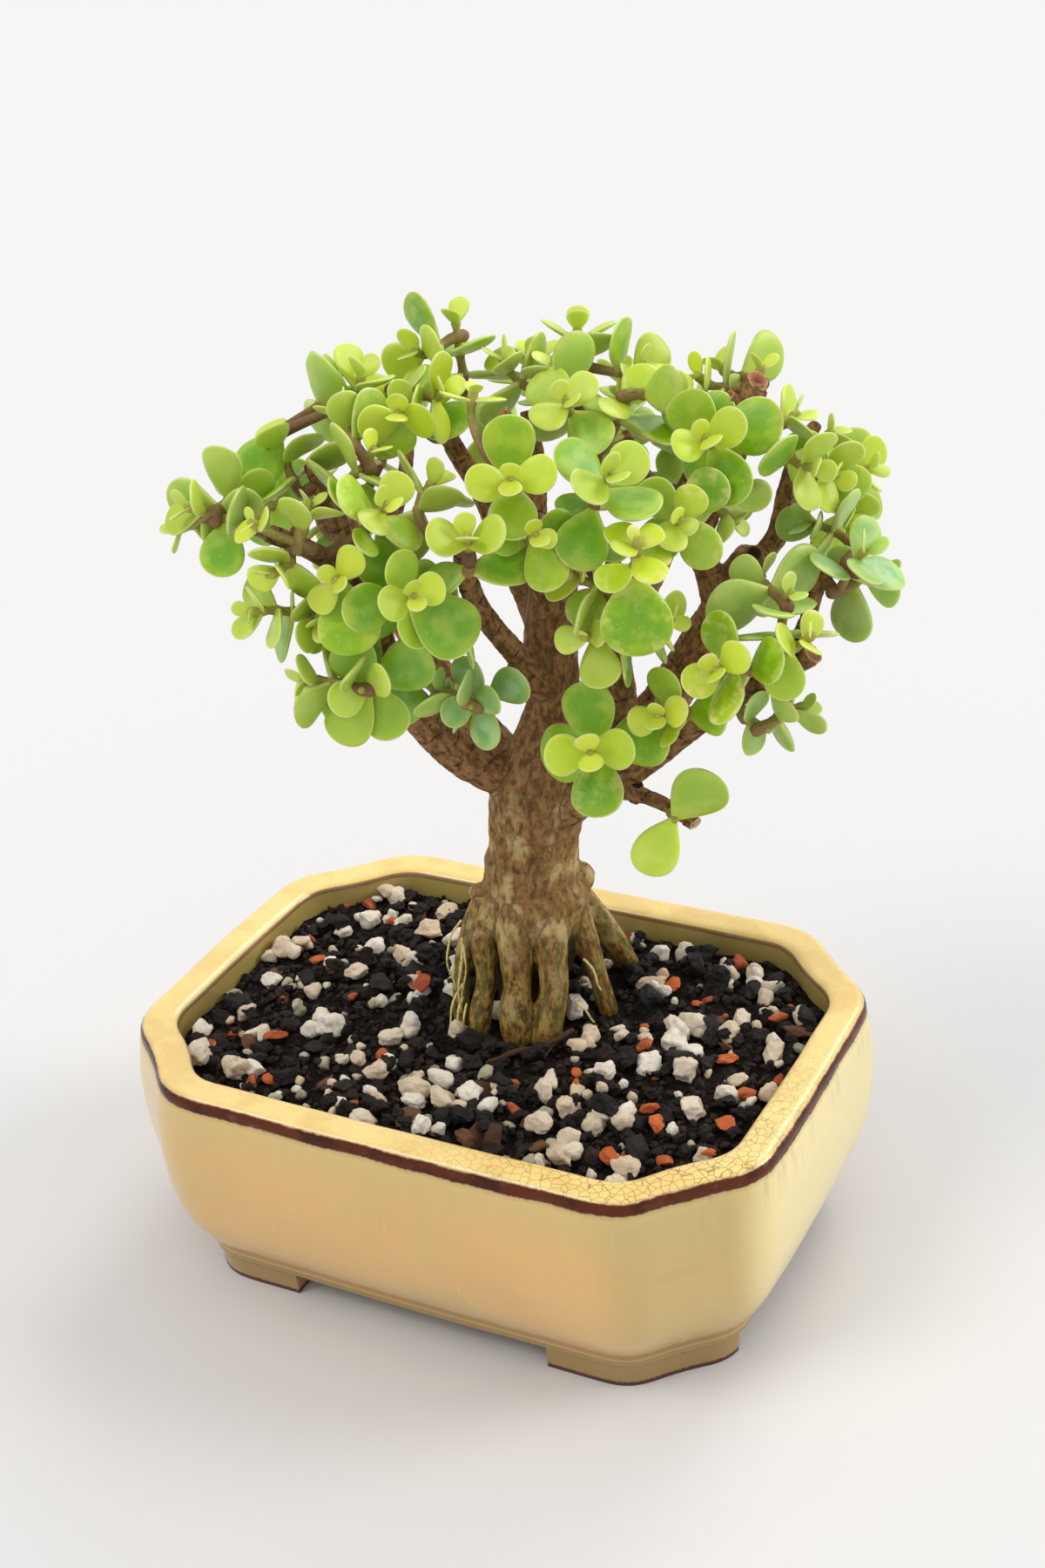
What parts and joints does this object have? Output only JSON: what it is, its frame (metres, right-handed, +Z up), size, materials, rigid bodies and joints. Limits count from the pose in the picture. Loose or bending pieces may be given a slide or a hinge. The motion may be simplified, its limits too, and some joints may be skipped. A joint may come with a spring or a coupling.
{
  "type": "dwarf jade bonsai in a glazed pot",
  "caption": "Small succulent bonsai tree with bare roots, forked limbs and round-leaved shoots, in a low cut-cornered glazed pot.",
  "frame": {"origin": "middle of the whole object's footprint, at the level of the surface that it stands on", "axes": "+Z up, +X along the pot's long side to the right, +Y to the back, away from the side shown in front"},
  "size_m": [0.1582, 0.1428, 0.2092],
  "materials": {
    "glazed_stoneware": "satin-gloss cream-tan glaze that breaks dark red-brown along the rim's outer edge, finely crackled on the rim, bare dark clay at the feet",
    "black_plastic": "matt black plastic mesh",
    "potting_mix": "dark bark chips and charcoal with cream pumice and red-orange fired clay grains",
    "bark": "matt grey-brown to reddish-brown bark with ring scars, olive on the roots",
    "leaf": "thick, smooth, waxy green leaf with a paler edge"
  },
  "bodies": {
    "root": {"drain_mesh_left": "black_plastic", "drain_mesh_right": "black_plastic", "limb_back": "bark", "limb_back_left": "bark", "limb_back_right": "bark", "limb_front_left": "bark", "limb_low_left": "bark", "limb_lower_right": "bark", "limb_middle_right": "bark", "limb_right": "bark", "limb_right_back": "bark", "limb_top_front": "bark", "limb_top_right": "bark", "limb_upper_left": "bark", "pot": "glazed_stoneware", "potting_mix": "potting_mix", "shoot_back": "leaf", "shoot_back_left": "leaf", "shoot_back_left_low": "leaf", "shoot_back_right": "leaf", "shoot_back_right_high": "leaf", "shoot_blue_cluster": "leaf", "shoot_cut_end": "leaf", "shoot_far_left": "leaf", "shoot_far_right": "leaf", "shoot_far_right_high": "leaf", "shoot_front_left": "leaf", "shoot_front_middle": "leaf", "shoot_front_rosette": "leaf", "shoot_left_drooping": "leaf", "shoot_left_front_high": "leaf", "shoot_left_inner": "leaf", "shoot_left_level": "leaf", "shoot_left_rosette": "leaf", "shoot_left_stub": "leaf", "shoot_limb_end": "leaf", "shoot_low_left": "leaf", "shoot_low_rosette": "leaf", "shoot_lower_front": "leaf", "shoot_lower_rosette": "leaf", "shoot_middle_inner": "leaf", "shoot_middle_sprig": "leaf", "shoot_right_cluster": "leaf", "shoot_right_front": "leaf", "shoot_right_hanging": "leaf", "shoot_right_level": "leaf", "shoot_right_rosette": "leaf", "shoot_right_top": "leaf", "shoot_right_upper": "leaf", "shoot_top_front": "leaf", "shoot_top_high": "leaf", "shoot_top_left": "leaf", "shoot_top_middle": "leaf", "shoot_top_right": "leaf", "shoot_twig_end": "leaf", "shoot_upper_left": "leaf", "shoot_upper_left_end": "leaf", "shoot_upper_left_front": "leaf", "trunk": "bark"}
  },
  "joints": []
}
